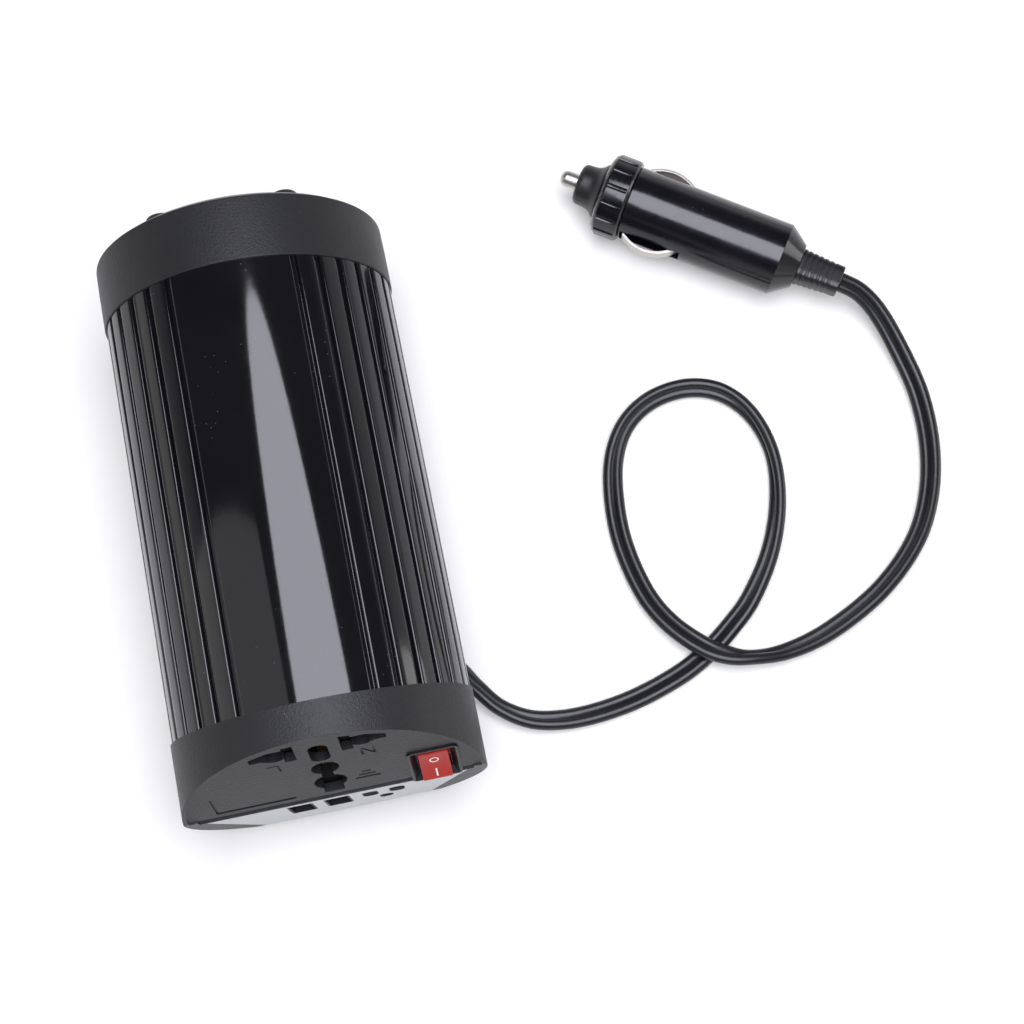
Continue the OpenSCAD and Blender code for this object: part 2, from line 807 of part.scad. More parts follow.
module plug_boot() {
  color([0.07, 0.07, 0.07]) in_plug() {
    translate([0, 0, -barrel_len - 9]) cylinder(r = 2.9, h = 12, $fn = 40);
    difference() {
      translate([0, 0, -barrel_len - 16.7]) linear_extrude(11.5) round_slot(7, 8.4, 2.6);
      for (i = [0 : 4])
        translate([0, 0, -barrel_len - 14.6 + i * 1.8]) linear_extrude(0.8) difference() {
          square([12, 12], center = true);
          round_slot(6.2, 7.6, 2.4);
        }
    }
  }
}

module plug_ring() {
  color([0.05, 0.05, 0.07]) in_plug() difference() {
    rotate_extrude($fn = fine) polygon([
      [8.35, 0.15], [ring_d / 2 - 0.5, 0.15], [ring_d / 2, 0.7], [ring_d / 2, ring_len - 1.6],
      [ring_d / 2 - 0.5, ring_len - 0.8], [ring_d / 2 - 1.7, ring_len - 0.15],
      [ring_d / 2 - 2.4, ring_len], [7.2, ring_len], [7.2, ring_len - 1.4], [8.35, ring_len - 1.4]
    ]);
    // Grip flutes
    for (a = [0 : 24 : 336])
      rotate(a) translate([ring_d / 2 + 0.3, 0, 0.9]) cylinder(r = 0.75, h = ring_len - 2.4, $fn = 16);
  }
}

module plug_nose() {
  color([0.06, 0.06, 0.07]) in_plug() difference() {
    rotate_extrude($fn = fine) polygon([
      [0, 5.1], [8, 5.1], [8, 6], [6.9, 6], [6.9, nose_face], [7.6, nose_face],
      [7, nose_face + 0.7], [6.2, nose_face + 1.5], [5.7, nose_face + 2.5], [5.5, nose_face + 3.5],
      [5.4, 13.6], [5, 14.4], [4.3, 14.7], [0, 14.7]
    ]);
    translate([0, 0, 4]) cylinder(r = 3.3, h = 8, $fn = 48);
    translate([0, 0, 4]) cylinder(r = tip_d / 2 + 0.05, h = 12, $fn = 48);
  }
}

module plug_tip() {
  color([0.78, 0.77, 0.72]) in_plug() rotate_extrude($fn = 48) polygon([
    [0, 9.4], [2.95, 9.4], [2.95, 11.6], [tip_d / 2, 11.6], [tip_d / 2, tip_reach - 1.6],
    [1.85, tip_reach - 0.8], [1.3, tip_reach - 0.25], [0.6, tip_reach], [0, tip_reach]
  ]);
}

// Coil spring between the fuse and the tip.
spring_turns = 3;
spring_r = 2.2;
spring_wire = 0.3;
spring_lo = 6.6;
spring_hi = 9.1;
spring_steps = 48;

function coil_point(i) =
  let (a = 360 * spring_turns * i / spring_steps)
  [spring_r * cos(a), spring_r * sin(a),
   spring_lo + (spring_hi - spring_lo) * i / spring_steps];
function coil_ring(i) =
  let (a = 360 * spring_turns * i / spring_steps)
  [for (k = [0 : 5]) coil_point(i) + spring_wire * [
    cos(a) * cos(60 * k), sin(a) * cos(60 * k), sin(60 * k)]];

module tip_spring() {
  color([0.7, 0.7, 0.7]) in_plug() polyhedron(
    points = [for (i = [0 : spring_steps]) each coil_ring(i)],
    faces = concat(
      [[for (k = [0 : 5]) k]],
      [for (i = [0 : spring_steps - 1], k = [0 : 5])
        [i * 6 + k, (i + 1) * 6 + k, (i + 1) * 6 + (k + 1) % 6, i * 6 + (k + 1) % 6]],
      [[for (k = [5 : -1 : 0]) spring_steps * 6 + k]]
    )
  );
}

module fuse_glass() {
  color([0.75, 0.85, 0.85]) in_plug() ring(2.7, 2.2, 18, -20);
}

module fuse_ends() {
  color([0.8, 0.8, 0.8]) in_plug() for (z = [-25.8, -2])
    difference() {
      disc(3.15, 6, z);
      disc(2.75, 5.2, z < -10 ? z + 0.85 : z - 0.05);
    }
}

// Sprung earth contact: a bowed strip of nickel steel.
module side_leaf() {
  intersection() {
    translate([-1.6, 1.5, -8]) rotate([0, 90, 0]) difference() {
      cylinder(r = 10.6, h = 3.2, $fn = 96);
      translate([0, 0, -1]) cylinder(r = 9.9, h = 6, $fn = 96);
    }
    translate([-3, 7.3, -16.4]) cube([6, 6, 15]);
  }
}

module side_contact_a() {
  color([0.78, 0.78, 0.75]) in_plug() side_leaf();
}

module side_contact_b() {
  color([0.78, 0.78, 0.75]) in_plug() mirror([0, 1, 0]) side_leaf();
}

// ---------- assembly ----------

tube();
base_cap();
end_plate();
feet();
base_screws();
fan_frame();
fan_rotor();
socket_cap();
socket_core();
live_contact();
neutral_contact();
earth_contact();
label_plate();
usb_shells();
usb_tongues();
indicators();
leds();
usb_board();
switch_housing();
rocker();
rocker_marks();
switch_tabs();
main_board();
transformer_core();
transformer_coil();
capacitors();
choke();
heat_bar();
transistors();
cap_screws();
grommet();
cord();
plug_barrel();
plug_boot();
plug_ring();
plug_nose();
plug_tip();
tip_spring();
fuse_glass();
fuse_ends();
side_contact_a();
side_contact_b();
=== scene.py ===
# %% [markdown]
# # A can-shaped power inverter with its car plug
# The inverter is an aluminium can with grooved flanks between two moulded caps.
# It lies on a table with its socket end toward us, and a short twin lead runs
# from its flank to a car plug. The exact parts come from the CAD model. Here
# each visible one is made again with rounded edges, or gets a better finish.

# %% Load the exact model
import json
import math

import bpy
from mathutils import Matrix, Vector


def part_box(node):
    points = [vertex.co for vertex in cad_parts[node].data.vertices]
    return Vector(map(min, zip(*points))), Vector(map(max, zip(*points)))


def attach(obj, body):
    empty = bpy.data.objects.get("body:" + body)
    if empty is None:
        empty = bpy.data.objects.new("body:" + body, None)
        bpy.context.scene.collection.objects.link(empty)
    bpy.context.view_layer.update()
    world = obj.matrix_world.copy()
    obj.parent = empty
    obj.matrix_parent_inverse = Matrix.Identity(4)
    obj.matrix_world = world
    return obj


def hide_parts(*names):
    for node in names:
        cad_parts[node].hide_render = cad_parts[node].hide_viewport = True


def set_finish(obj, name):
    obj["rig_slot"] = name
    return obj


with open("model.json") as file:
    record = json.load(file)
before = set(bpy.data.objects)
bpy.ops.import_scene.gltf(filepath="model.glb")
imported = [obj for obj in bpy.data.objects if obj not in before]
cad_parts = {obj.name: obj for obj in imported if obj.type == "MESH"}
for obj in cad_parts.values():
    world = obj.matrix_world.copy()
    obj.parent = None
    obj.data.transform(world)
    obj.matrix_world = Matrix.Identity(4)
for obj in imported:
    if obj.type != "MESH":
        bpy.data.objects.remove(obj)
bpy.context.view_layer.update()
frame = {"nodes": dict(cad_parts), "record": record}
nodes = frame["nodes"]
scene = bpy.context.scene
MM = 0.001

# %% [markdown]
# ## The camera
# The camera comes first. It looks steeply down on the can from past its socket
# end, with a slightly long lens.

# %% Camera
SENSOR_MM, LENS_MM = 36, 57.85
CAMERA_AT = (0.03414, -0.0993, 0.4153)
CAMERA_LEAN, CAMERA_TURN = 0.2342, -0.2038  # radians: up from straight down, and round the upright

camera_data = bpy.data.cameras.new("camera")
camera_data.sensor_width = SENSOR_MM
camera_data.lens = LENS_MM
camera_data.clip_start = 0.01
camera = bpy.data.objects.new("camera", camera_data)
camera.location = CAMERA_AT
camera.rotation_euler = (CAMERA_LEAN, 0, CAMERA_TURN)
scene.collection.objects.link(camera)
scene.camera = camera
print("camera at", tuple(camera.location))

# %% [markdown]
# ## The twin lead
# The lead is two round wires joined side by side, so its section is a flat
# figure of eight. A curve with a bevel would do, but its twist is hard to
# steer. So a ring of points is carried along a smooth path through the CAD
# route, and each ring is rolled by the angle that the route gives.

# %% Lead: the route, as x, y, z in millimetres and roll in degrees
LEAD_ROUTE = [
    (31.7, -39.5, 8, 35), (33.5, -41.9, 6.4, 40), (36.5, -46.2, 4.5, 50),
    (41, -51.7, 3.4, 50), (47.7, -56.0, 2.9, 35), (56, -57.8, 2.4, 20),
    (65.5, -57.7, 1.9, 8), (76, -56, 1.6, 0), (87.2, -52.5, 1.6, 0),
    (95, -48.6, 1.6, 0), (102.5, -43.2, 1.9, 10), (109.3, -37, 2.3, 25),
    (117, -26, 2.7, 45), (121.9, -13.5, 2.9, 62), (123.4, -1, 2.9, 80),
    (120.6, 10, 2.8, 72), (114.4, 17.6, 2.5, 50), (105.6, 20.7, 2.3, 42),
    (95.7, 19.3, 2.2, 40), (87.7, 13.9, 2.1, 35), (82.6, 4.8, 1.8, 20),
    (80.4, -7.6, 1.6, 0), (80.6, -19, 1.8, 0), (83.1, -30.9, 2.6, 0),
    (87.2, -39.4, 3.8, 0), (93.2, -46.4, 5, 0), (99, -50.3, 4.9, 25),
    (106, -52.3, 4, 60), (115.5, -52.3, 2.7, 45), (127.4, -49.2, 2.3, 30),
    (142, -41.8, 2.6, 30), (153.6, -31.6, 2.6, 30), (160.4, -20.5, 2.4, 20),
    (164.2, -7.5, 2.4, 15), (164.9, 6.5, 2.9, 15), (162.4, 19.2, 4.6, 12),
    (158.8, 29.2, 7.4, 6), (154.8, 35, 9.6, 0), (150.1, 38.4, 10.85, 0),
]
LEAD_WIDTH = 5.3
WIRE_R = 1.45
ROUTE_STEPS = 7
UP = Vector((0, 0, 1))
print("lead route of", len(LEAD_ROUTE), "points")

# %% Lead: a smooth path, and the section that follows it


def smooth_route(points, steps):
    """Catmull-Rom curve through the points, with steps spans between each two."""
    path = []
    for i in range(len(points) - 1):
        p0, p1 = Vector(points[max(i - 1, 0)]), Vector(points[i])
        p2, p3 = Vector(points[i + 1]), Vector(points[min(i + 2, len(points) - 1)])
        for k in range(steps):
            t = k / steps
            path.append(0.5 * (2 * p1 + (p2 - p0) * t + (2 * p0 - 5 * p1 + 4 * p2 - p3) * t * t
                               + (3 * p1 - p0 - 3 * p2 + p3) * t ** 3))
    path.append(Vector(points[-1]))
    return path


def lead_outline(per_wire=13):
    """Section of the twin lead in millimetres: two round wires side by side."""
    middle = LEAD_WIDTH / 2 - WIRE_R
    meet = math.acos(-middle / WIRE_R)
    half = [meet * (2 * k / (per_wire - 1) - 1) for k in range(per_wire)]
    right = [(middle + WIRE_R * math.cos(a), WIRE_R * math.sin(a)) for a in half]
    left = [(-x, -y) for x, y in right]
    return right[:-1] + left[:-1]


def lead_skin(path, rolls, outline):
    """Points and faces of the lead: a ring of points at each step, and flat ends."""
    points, faces = [], []
    last, n = len(path) - 1, len(outline)
    for i, here in enumerate(path):
        way = (path[min(i + 1, last)] - path[max(i - 1, 0)]).normalized()
        level = way.cross(UP).normalized()
        roll = math.radians(rolls[i].x)
        wide = level * math.cos(roll) + level.cross(way) * math.sin(roll)
        thin = wide.cross(way)
        points += [(here + wide * x + thin * y) * MM for x, y in outline]
    for i in range(last):
        for k in range(n):
            a, b = i * n + k, i * n + (k + 1) % n
            faces.append((a, b, b + n, a + n))
    faces += [tuple(reversed(range(n))), tuple(range(len(points) - n, len(points)))]
    return points, faces


path = smooth_route([p[:3] for p in LEAD_ROUTE], ROUTE_STEPS)
rolls = smooth_route([(p[3], 0, 0) for p in LEAD_ROUTE], ROUTE_STEPS)
print("lead path of", len(path), "rings,", len(lead_outline()), "points in each")

# %% Lead: the mesh
points, faces = lead_skin(path, rolls, lead_outline())
lead_mesh = bpy.data.meshes.new("twin_lead")
lead_mesh.from_pydata(points, [], faces)
twin_lead = bpy.data.objects.new("twin_lead", lead_mesh)
scene.collection.objects.link(twin_lead)

# %% [markdown]
# ## Modelling helpers
# Blender's operators act on whatever is selected. So each helper clears the
# selection first, picks its own object, and leaves edit mode when it is done.

# %% Selecting and finishing


def pick(obj):
    """Only this object selected and active, in object mode."""
    if bpy.context.object and bpy.context.object.mode != "OBJECT":
        bpy.ops.object.mode_set(mode="OBJECT")
    bpy.ops.object.select_all(action="DESELECT")
    obj.select_set(True)
    bpy.context.view_layer.objects.active = obj


def edit(obj, kind="VERT"):
    """Edit mode on this object, with nothing selected."""
    pick(obj)
    bpy.ops.object.mode_set(mode="EDIT")
    bpy.ops.mesh.select_mode(type=kind)
    bpy.ops.mesh.select_all(action="DESELECT")


def done():
    """Back to object mode."""
    bpy.ops.object.mode_set(mode="OBJECT")


def clean(obj, merge=1e-6):
    """Doubles merged and every face turned outward."""
    edit(obj)
    bpy.ops.mesh.select_all(action="SELECT")
    bpy.ops.mesh.remove_doubles(threshold=merge)
    bpy.ops.mesh.normals_make_consistent(inside=False)
    done()


def use_modifier(obj, kind, **values):
    """Adds a modifier with these values and applies it."""
    pick(obj)
    modifier = obj.modifiers.new(kind.lower(), kind)
    for key, value in values.items():
        setattr(modifier, key, value)
    bpy.ops.object.modifier_apply(modifier=modifier.name)


def soften(obj, width, segments=2, angle=35):
    """Rounds the sharp edges by width in millimetres, then shades the curves smooth."""
    if width:
        use_modifier(obj, "BEVEL", width=width * MM, segments=segments, limit_method="ANGLE",
                     angle_limit=math.radians(angle), use_clamp_overlap=True)
    pick(obj)
    bpy.ops.object.shade_smooth_by_angle(angle=math.radians(angle))
    use_modifier(obj, "WEIGHTED_NORMAL", keep_sharp=True, weight=80)


def place(obj, body, slot, *stands_for):
    """The piece rides on its body, names its finish, and hides what it stands for."""
    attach(obj, body)
    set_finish(obj, slot)
    if stands_for:
        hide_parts(*stands_for)
    print(obj.name, len(obj.data.polygons), "faces, rides on", body)
    return obj


# %% [markdown]
# ## Outlines
# Most parts of the can are turned or drawn through one section. So an outline
# is drawn point by point, with its corners rounded by short smooth curves, and
# is then spun round an axis or pulled along one.

# %% Drawing an outline
EDGE_SHARE = 0.45  # the most of an edge that one rounded corner may take


def rounded(corners, radius, steps=5):
    """The closed outline with its corners rounded; a corner may carry its own radius."""
    made = []
    count = len(corners)
    for i, corner in enumerate(corners):
        r = corner[2] if len(corner) > 2 else radius
        here = Vector(corner[:2])
        before, after = Vector(corners[i - 1][:2]), Vector(corners[(i + 1) % count][:2])
        a, b = (before - here), (after - here)
        if r <= 0 or a.length < 1e-6 or b.length < 1e-6:
            made.append(here)
            continue
        turn = a.angle(b)
        cut = min(r / math.tan(turn / 2), a.length * EDGE_SHARE, b.length * EDGE_SHARE)
        start, end = here + a.normalized() * cut, here + b.normalized() * cut
        for k in range(steps + 1):
            t = k / steps
            made.append(start * (1 - t) ** 2 + here * 2 * t * (1 - t) + end * t * t)
    return made


def draw(name, spots, close=True):
    """A new object with one line of edges through these points, drawn by extruding a vertex."""
    bpy.ops.object.select_all(action="DESELECT")
    bpy.ops.mesh.primitive_plane_add(size=MM, location=(0, 0, 0))
    obj = bpy.context.object
    obj.name = obj.data.name = name
    bpy.ops.object.mode_set(mode="EDIT")
    bpy.ops.mesh.select_all(action="SELECT")
    bpy.ops.mesh.merge(type="CENTER")
    bpy.ops.transform.translate(value=spots[0])
    for last, spot in zip(spots, spots[1:]):
        bpy.ops.mesh.extrude_region_move(TRANSFORM_OT_translate={"value": Vector(spot) - Vector(last)})
    bpy.ops.mesh.select_all(action="SELECT")
    if close:
        bpy.ops.mesh.edge_face_add()
        bpy.ops.mesh.delete(type="ONLY_FACE")
    done()
    return obj


def turned(name, profile, place_at, steps=128):
    """A profile of (radius, along) in millimetres spun round the axis of place_at, a matrix."""
    spots = [(place_at @ Vector((r, 0, z))) * MM for r, z in profile]
    obj = draw(name, spots, close=False)
    edit(obj)
    bpy.ops.mesh.select_all(action="SELECT")
    centre = (place_at @ Vector((0, 0, 0))) * MM
    axis = (place_at.to_3x3() @ Vector((0, 0, 1))).normalized()
    bpy.ops.mesh.spin(steps=steps, angle=2 * math.pi, center=centre, axis=axis)
    done()
    clean(obj)
    return obj


def pulled(name, spots, way, place_at):
    """A flat outline of local points, filled and pulled by way; millimetres in place_at's frame."""
    obj = draw(name, [(place_at @ Vector(p)) * MM for p in spots])
    edit(obj)
    bpy.ops.mesh.select_all(action="SELECT")
    bpy.ops.mesh.edge_face_add()
    step = (place_at.to_3x3() @ Vector(way)) * MM
    bpy.ops.mesh.extrude_region_move(TRANSFORM_OT_translate={"value": step})
    done()
    clean(obj)
    return obj


def joined(name, *objects):
    """The objects as one, under this name."""
    pick(objects[0])
    for other in objects[1:]:
        other.select_set(True)
    bpy.ops.object.join()
    objects[0].name = objects[0].data.name = name
    return objects[0]


# %% [markdown]
# ## Where the parts lie
# A turned or pulled part is drawn in its own frame, with Z along its axis. Each
# frame here is a matrix that takes such a part to its place: the can's axis,
# the plug's axis, the sloping face, and the rocker's pivot on that face.

# %% The parts' own frames


def turn_about(axis, degrees):
    return Matrix.Rotation(math.radians(degrees), 4, axis)


CAP_R = 35
AXIS_H = CAP_R
FACE_ALONG, FACE_SLOPE = 67.9, 17.2
PIVOT_ON_FACE, ROCKER_REST = (23.5, 8.6, -2.4), 8
PLUG_AT, PLUG_TURN = (101.3, 71.3, 10.85), 146

IN_CAN = Matrix.Translation((0, 0, AXIS_H)) @ turn_about("X", 90)
IN_PLUG = Matrix.Translation(PLUG_AT) @ turn_about("Z", PLUG_TURN) @ turn_about("Y", 90)
ON_FACE = IN_CAN @ Matrix.Translation((0, 0, FACE_ALONG)) @ turn_about("X", -FACE_SLOPE)
AT_ROCKER = ON_FACE @ Matrix.Translation(PIVOT_ON_FACE) @ turn_about("X", -ROCKER_REST)
print("can axis at height", AXIS_H, "mm; plug at", tuple(round(v, 1) for v in IN_PLUG.translation))

# %% [markdown]
# ## The aluminium tube
# The tube is an extrusion. Each flank has a row of narrow grooves with softly
# rolled lips, which catch thin lines of light. One section is drawn, with the
# lips as small arcs, and is pulled along the can's axis; the bore inside is
# drawn the same way and joined to it at both ends.

# %% Tube: the section, as angles from the top in degrees and radii
TUBE_R = 34.6
BORE_R = 31.5
PANEL_HALF = 25  # the smooth panel on top ends this far round
GROOVE_STEP = 9.8
GROOVES = 14
LAND = 3  # smooth wall between a row of grooves and the next long arc
ARC_STEPS = 44
BORE_STEPS = 120
# Across and down from the wall, in millimetres: the rolled lip, the side, the floor's edge.
GROOVE_LIP = [(-1.35, 0.0), (-1.12, -0.02), (-0.92, -0.08), (-0.76, -0.2), (-0.64, -0.38),
              (-0.58, -0.62), (-0.56, -0.95), (-0.5, -1.14), (-0.36, -1.2)]


def groove_outline(middle):
    """One groove's points, round the angle of its middle."""
    deg = math.degrees(1 / TUBE_R)
    side = GROOVE_LIP + [(-x, y) for x, y in reversed(GROOVE_LIP)]
    return [(middle + x * deg, TUBE_R + y) for x, y in side]


def arc(start, sweep):
    """Points of a smooth stretch of the wall."""
    return [(start + sweep * k / ARC_STEPS, TUBE_R) for k in range(ARC_STEPS + 1)]


def tube_outline():
    """The whole section: smooth top, grooved flank, smooth underside, grooved flank."""
    flank = []
    for i in range(GROOVES):
        middle = PANEL_HALF + i * GROOVE_STEP
        flank += groove_outline(middle)
        if i < GROOVES - 1:
            flank += [(middle + GROOVE_STEP * k / 6, TUBE_R) for k in (2, 3, 4)]
    start, end = PANEL_HALF - LAND, PANEL_HALF + (GROOVES - 1) * GROOVE_STEP + LAND
    other = [(360 - a, r) for a, r in reversed(flank)]
    return arc(-start, 2 * start) + flank + arc(end, 360 - 2 * end) + other


def polar(angle, radius, along):
    """A point at this angle from the top and this radius, in metres."""
    a = math.radians(angle)
    return Vector((radius * math.sin(a), along, AXIS_H + radius * math.cos(a))) * MM


def pull_section(name, section, lo, hi):
    """A closed section pulled along the can's axis, open at both ends."""
    obj = draw(name, [polar(a, r, lo) for a, r in section])
    edit(obj)
    bpy.ops.mesh.select_all(action="SELECT")
    bpy.ops.mesh.extrude_region_move(TRANSFORM_OT_translate={"value": (0, (hi - lo) * MM, 0)})
    done()
    return obj


tube_near, tube_far = (corner.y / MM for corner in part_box("tube"))
tube_wall = pull_section("tube_wall", tube_outline(), tube_near, tube_far)
bore_wall = pull_section("bore_wall", [(k * 360 / BORE_STEPS, BORE_R) for k in range(BORE_STEPS)],
                         tube_near, tube_far)
print("tube section has", len(tube_wall.data.vertices) // 2, "points")

# %% [markdown]
# The two walls are still open pipes, one inside the other. At each end the
# edges of both are selected by their place, and a bridge closes the gap.

# %% Tube: the two walls joined
tube_shell = joined("tube_shell", tube_wall, bore_wall)
for end in (tube_near * MM, tube_far * MM):
    edit(tube_shell, "EDGE")
    done()
    for edge in tube_shell.data.edges:
        a, b = (tube_shell.data.vertices[v].co.y for v in edge.vertices)
        edge.select = abs(a - end) < 1e-6 and abs(b - end) < 1e-6
    bpy.ops.object.mode_set(mode="EDIT")
    bpy.ops.mesh.bridge_edge_loops()
    done()
clean(tube_shell)
soften(tube_shell, 0, angle=40)
place(tube_shell, "can", "tube", "tube")

# %% [markdown]
# ## The base cap
# The cap at the standing end is a moulded ring with a rounded rim, so its
# profile is turned round the can's axis. Small curves at the rim and the seam
# give it the soft edges of a moulding.

# %% Base cap: radii, and places along the can's axis
CAP_BORE_R, RIM_R = 33.0, 33.7
SPIGOT_R, SPIGOT_BORE_R = 31.4, 29.6
DUCT_R = 19.2
RIM = -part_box("base_cap")[1].y / MM
SPIGOT_TIP = -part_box("base_cap")[0].y / MM
SEAM = RIM + 15.4
END_OUT, END_IN = RIM + 1.2, RIM + 3.2  # the two faces of the end wall

base_profile = rounded([
    (DUCT_R, END_OUT, 0.2), (RIM_R, END_OUT, 0.2), (RIM_R, RIM, 0.12), (CAP_R - 0.1, RIM, 0.9),
    (CAP_R, RIM + 6, 0), (CAP_R, SEAM, 0.3), (SPIGOT_R, SEAM, 0), (SPIGOT_R, SPIGOT_TIP, 0.2),
    (SPIGOT_BORE_R, SPIGOT_TIP, 0.2), (SPIGOT_BORE_R, SEAM - 2, 0), (CAP_BORE_R, SEAM - 4, 0),
    (CAP_BORE_R, END_IN, 0.3), (DUCT_R, END_IN, 0.2),
], 0)
base_shell = turned("base_cap_shell", base_profile + base_profile[:1], IN_CAN, 144)
soften(base_shell, 0, angle=30)
place(base_shell, "can", "cap_black", "base_cap")

# %% [markdown]
# ## Rounded copies
# Where the CAD shape is already right, only its sharp edges give it away. A
# copy is merged into one skin, its flat facets are joined, and a small bevel
# rounds its edges to the size that a mould or a press leaves.

# %% Rounding a copy of a CAD part


def rounded_copy(node, name, width, segments=2, angle=35, flat=0.6):
    """A merged copy of a CAD node, with its edges rounded by width in millimetres."""
    mesh = nodes[node].data.copy()
    obj = bpy.data.objects.new(name, mesh)
    mesh.name = name
    scene.collection.objects.link(obj)
    edit(obj)
    bpy.ops.mesh.select_all(action="SELECT")
    bpy.ops.mesh.customdata_custom_splitnormals_clear()
    bpy.ops.mesh.remove_doubles(threshold=2e-6)
    bpy.ops.mesh.dissolve_limited(angle_limit=math.radians(flat))
    done()
    soften(obj, width, segments, angle)
    return obj


COPIES = [
    # CAD node, new name, body, finish, edge radius, segments
    ("socket_cap", "socket_cap_shell", "can", "cap_black", 0.14, 2),
    ("label_plate", "label_face", "can", "label_silver", 0.1, 2),
    ("end_plate", "end_grille", "can", "end_plate", 0.15, 2),
    ("feet", "foot_pads", "can", "rubber", 0.3, 3),
    ("base_screws", "base_screw_set", "can", "screw_steel", 0.08, 2),
    ("switch_housing", "switch_frame", "can", "switch_black", 0.15, 3),
    ("usb_shells", "port_shells", "can", "usb_steel", 0.08, 2),
    ("usb_tongues", "port_tongues", "can", "usb_plastic", 0.15, 2),
    ("indicators", "indicator_windows", "can", "lens_smoke", 0.2, 3),
    ("grommet", "lead_grommet", "can", "rubber", 0.25, 3),
    ("plug_barrel", "barrel_shell", "can", "plug_gloss", 0.3, 3),
    ("plug_ring", "screw_ring", "ring", "plug_gloss", 0.18, 2),
    ("plug_nose", "nose_piece", "nose", "plug_nose", 0.3, 3),
    ("plug_tip", "centre_pin", "tip", "nickel", 0.2, 3),
    ("side_contact_a", "side_leaf_a", "contact_a", "nickel", 0.12, 2),
    ("side_contact_b", "side_leaf_b", "contact_b", "nickel", 0.12, 2),
]
made = {}
for node, name, body, finish, width, segments in COPIES:
    made[name] = place(rounded_copy(node, name, width, segments), body, finish, node)

# %% [markdown]
# ## The rocker
# The rocker's face is slightly hollow, so its side outline is drawn with a
# shallow curve and pulled across its width. The off ring and the on bar are
# inlays of white plastic: the ring is turned, and the bar follows the curve.

# %% Rocker: the paddle and its pivot
ROCKER_HALF_W, ROCKER_END = 3.4, 5.75
FACE_LOW, FACE_RISE = 3.15, 0.45  # height over the pivot at its middle, and the rise to its ends
HEEL_Y, HEEL_Z = 1.6, -1.5
PIVOT_R, PIVOT_HALF = 1, 3.9


def face_height(y):
    """Height of the rocker's hollow face over its pivot, at y along it."""
    return FACE_LOW + FACE_RISE * (y / ROCKER_END) ** 2


top = [ROCKER_END * (k / 6 - 1) for k in range(13)]
side = [(y, face_height(y)) for y in top]
side += [(ROCKER_END - 0.5, 0.4), (HEEL_Y, HEEL_Z), (-HEEL_Y, HEEL_Z), (-ROCKER_END + 0.5, 0.4)]
rocker_body = pulled("rocker_body", [(-ROCKER_HALF_W, y, z) for y, z in side],
                     (2 * ROCKER_HALF_W, 0, 0), AT_ROCKER)
soften(rocker_body, 0.3, 3, 40)
pivot = turned("pivot", rounded([(0, -PIVOT_HALF, 0), (PIVOT_R, -PIVOT_HALF, 0.2),
                                 (PIVOT_R, PIVOT_HALF, 0.2), (0, PIVOT_HALF, 0)], 0),
               AT_ROCKER @ turn_about("Y", 90), 32)
soften(pivot, 0)
made["rocker_paddle"] = place(joined("rocker_paddle", rocker_body, pivot), "rocker", "rocker_red",
                              "rocker")

# %% Rocker: the off ring and the on bar
RING_Y, RING_IN, RING_OUT = 2.2, 0.77, 1.08
BAR_LO, BAR_HI, BAR_HALF_W = -4.6, -1.6, 0.19
RING_SUNK, RING_PROUD = -0.3, 0.05
BAR_SUNK, BAR_PROUD = FACE_LOW - 0.2, 0.03

slope = math.degrees(math.atan(2 * FACE_RISE * RING_Y / ROCKER_END ** 2))
ring_at = (AT_ROCKER @ Matrix.Translation((0, RING_Y, face_height(RING_Y)))
           @ turn_about("X", slope))
ring = turned("off_ring", rounded([(RING_IN, RING_SUNK, 0), (RING_OUT, RING_SUNK, 0),
                                   (RING_OUT, RING_PROUD, 0.08), (RING_IN, RING_PROUD, 0.08),
                                   (RING_IN, RING_SUNK, 0)], 0), ring_at, 48)
bar_y = [BAR_LO + (BAR_HI - BAR_LO) * k / 8 for k in range(9)]
bar_side = [(y, face_height(y) + BAR_PROUD) for y in bar_y] + [(BAR_HI, BAR_SUNK), (BAR_LO, BAR_SUNK)]
bar = pulled("on_bar", [(-BAR_HALF_W, y, z) for y, z in bar_side], (2 * BAR_HALF_W, 0, 0), AT_ROCKER)
soften(ring, 0)
soften(bar, 0.05, 2, 40)
made["switch_marks"] = place(joined("switch_marks", ring, bar), "rocker", "mark_white", "rocker_marks")

# %% [markdown]
# ## The plug's boot
# The soft boot behind the barrel narrows toward the lead, with five shallow
# ribs and a plain block at its end. One rounded outline is extruded step by
# step, and each step is scaled about the plug's axis to draw the taper.

# %% Boot: an outline extruded and scaled in steps
BOOT_FROM = -47.4
BOOT_W, BOOT_H, BOOT_CORNER = 3.7, 4.5, 2.8  # half sizes where it leaves the barrel
# Each step is how far back it goes in millimetres, and how much the outline is scaled there.
RIB = [(0.85, 0.988), (0.1, 0.955), (0.45, 1), (0.1, 1.036)]
BOOT_STEPS = [(0.8, 1), (0.15, 0.94), (0.35, 1), (0.15, 1.04)] + RIB * 5 + [(2.3, 0.98), (0.25, 0.93)]

